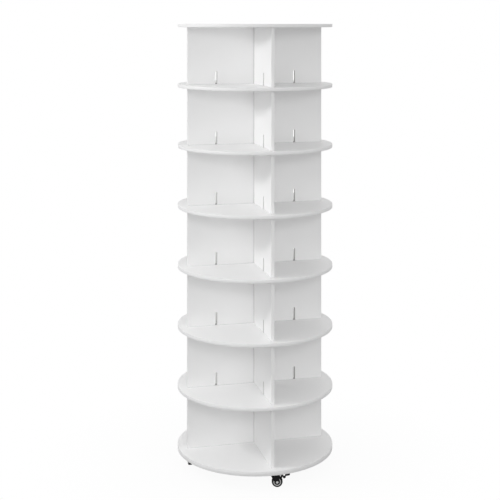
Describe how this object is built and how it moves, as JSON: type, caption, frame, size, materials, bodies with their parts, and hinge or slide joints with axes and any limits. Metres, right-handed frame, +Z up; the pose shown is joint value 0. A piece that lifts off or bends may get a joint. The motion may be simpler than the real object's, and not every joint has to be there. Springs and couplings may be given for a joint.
{
  "type": "rotating shoe tower",
  "caption": "Tall round shoe tower: white discs stacked on crossed panels that split each tier into quarter bays, turning on swivel casters with brake pedals.",
  "frame": {"origin": "on the floor, on the tower's vertical axis, level with the lowest point of the tyres", "axes": "+Z up; the arms of the crossed panels lie along X and Y; -Y is the front, the caster under the front arm stands there"},
  "size_m": [0.5999, 0.6, 1.697],
  "materials": {
    "board": "satin white laminate",
    "screw_steel": "zinc plated",
    "cap_plastic": "matt white",
    "black_steel": "satin black powder coat",
    "rivet_steel": "blackened",
    "hub_plastic": "moulded grey",
    "tyre_rubber": "matt black"
  },
  "bodies": {
    "tower": {"base_disc": "board", "top_disc": "board", "shelf_disc_1": "board", "shelf_disc_2": "board", "shelf_disc_3": "board", "shelf_disc_4": "board", "shelf_disc_5": "board", "shelf_disc_6": "board", "tier_1_side_panel": "board", "tier_1_cross_panel": "board", "tier_2_side_panel": "board", "tier_2_cross_panel": "board", "tier_3_side_panel": "board", "tier_3_cross_panel": "board", "tier_4_side_panel": "board", "tier_4_cross_panel": "board", "tier_5_side_panel": "board", "tier_5_cross_panel": "board", "tier_6_side_panel": "board", "tier_6_cross_panel": "board", "tier_7_side_panel": "board", "tier_7_cross_panel": "board", "tie_screws": "screw_steel", "foot_screws": "screw_steel", "caster_screws": "screw_steel", "screw_caps": "cap_plastic", "front_caster_mount_plate": "black_steel", "front_caster_kingpin": "rivet_steel", "right_caster_mount_plate": "black_steel", "right_caster_kingpin": "rivet_steel", "back_caster_mount_plate": "black_steel", "back_caster_kingpin": "rivet_steel", "left_caster_mount_plate": "black_steel", "left_caster_kingpin": "rivet_steel"},
    "front_swivel": {"front_caster_fork": "black_steel", "front_caster_axle": "rivet_steel", "front_caster_pedal_pin": "rivet_steel"},
    "front_wheel": {"front_caster_hub": "hub_plastic", "front_caster_tyre": "tyre_rubber"},
    "front_pedal": {"front_caster_brake_pedal": "black_steel"},
    "right_swivel": {"right_caster_fork": "black_steel", "right_caster_axle": "rivet_steel", "right_caster_pedal_pin": "rivet_steel"},
    "right_wheel": {"right_caster_hub": "hub_plastic", "right_caster_tyre": "tyre_rubber"},
    "right_pedal": {"right_caster_brake_pedal": "black_steel"},
    "back_swivel": {"back_caster_fork": "black_steel", "back_caster_axle": "rivet_steel", "back_caster_pedal_pin": "rivet_steel"},
    "back_wheel": {"back_caster_hub": "hub_plastic", "back_caster_tyre": "tyre_rubber"},
    "back_pedal": {"back_caster_brake_pedal": "black_steel"},
    "left_swivel": {"left_caster_fork": "black_steel", "left_caster_axle": "rivet_steel", "left_caster_pedal_pin": "rivet_steel"},
    "left_wheel": {"left_caster_hub": "hub_plastic", "left_caster_tyre": "tyre_rubber"},
    "left_pedal": {"left_caster_brake_pedal": "black_steel"}
  },
  "joints": [
    {"name": "front_swivel_turn", "type": "hinge", "parent": "tower", "child": "front_swivel", "pos_m": [0, -0.255, 0.05], "axis": [0, 0, 1], "continuous": true},
    {"name": "front_wheel_roll", "type": "hinge", "parent": "front_swivel", "child": "front_wheel", "pos_m": [0.01844, -0.2596, 0.02], "axis": [0.2419, 0.9703, 0], "continuous": true},
    {"name": "front_pedal_press", "type": "hinge", "parent": "front_swivel", "child": "front_pedal", "pos_m": [0.03493, -0.26371, 0.043], "axis": [0.2419, 0.9703, 0], "range_deg": [0, 18]},
    {"name": "right_swivel_turn", "type": "hinge", "parent": "tower", "child": "right_swivel", "pos_m": [0.255, 0, 0.05], "axis": [0, 0, 1], "continuous": true},
    {"name": "right_wheel_roll", "type": "hinge", "parent": "right_swivel", "child": "right_wheel", "pos_m": [0.2504, 0.01844, 0.02], "axis": [-0.9703, -0.2419, 0], "continuous": true},
    {"name": "right_pedal_press", "type": "hinge", "parent": "right_swivel", "child": "right_pedal", "pos_m": [0.24629, 0.03493, 0.043], "axis": [-0.9703, -0.2419, 0], "range_deg": [0, 18]},
    {"name": "back_swivel_turn", "type": "hinge", "parent": "tower", "child": "back_swivel", "pos_m": [0, 0.255, 0.05], "axis": [0, 0, 1], "continuous": true},
    {"name": "back_wheel_roll", "type": "hinge", "parent": "back_swivel", "child": "back_wheel", "pos_m": [-0.01785, 0.2485, 0.02], "axis": [0.342, -0.9397, 0], "continuous": true},
    {"name": "back_pedal_press", "type": "hinge", "parent": "back_swivel", "child": "back_pedal", "pos_m": [-0.03383, 0.24269, 0.043], "axis": [0.342, -0.9397, 0], "range_deg": [0, 18]},
    {"name": "left_swivel_turn", "type": "hinge", "parent": "tower", "child": "left_swivel", "pos_m": [-0.255, 0, 0.05], "axis": [0, 0, 1], "continuous": true},
    {"name": "left_wheel_roll", "type": "hinge", "parent": "left_swivel", "child": "left_wheel", "pos_m": [-0.25301, 0.0189, 0.02], "axis": [-0.9945, 0.1045, 0], "continuous": true},
    {"name": "left_pedal_press", "type": "hinge", "parent": "left_swivel", "child": "left_pedal", "pos_m": [-0.25124, 0.0358, 0.043], "axis": [-0.9945, 0.1045, 0], "range_deg": [0, 18]}
  ]
}
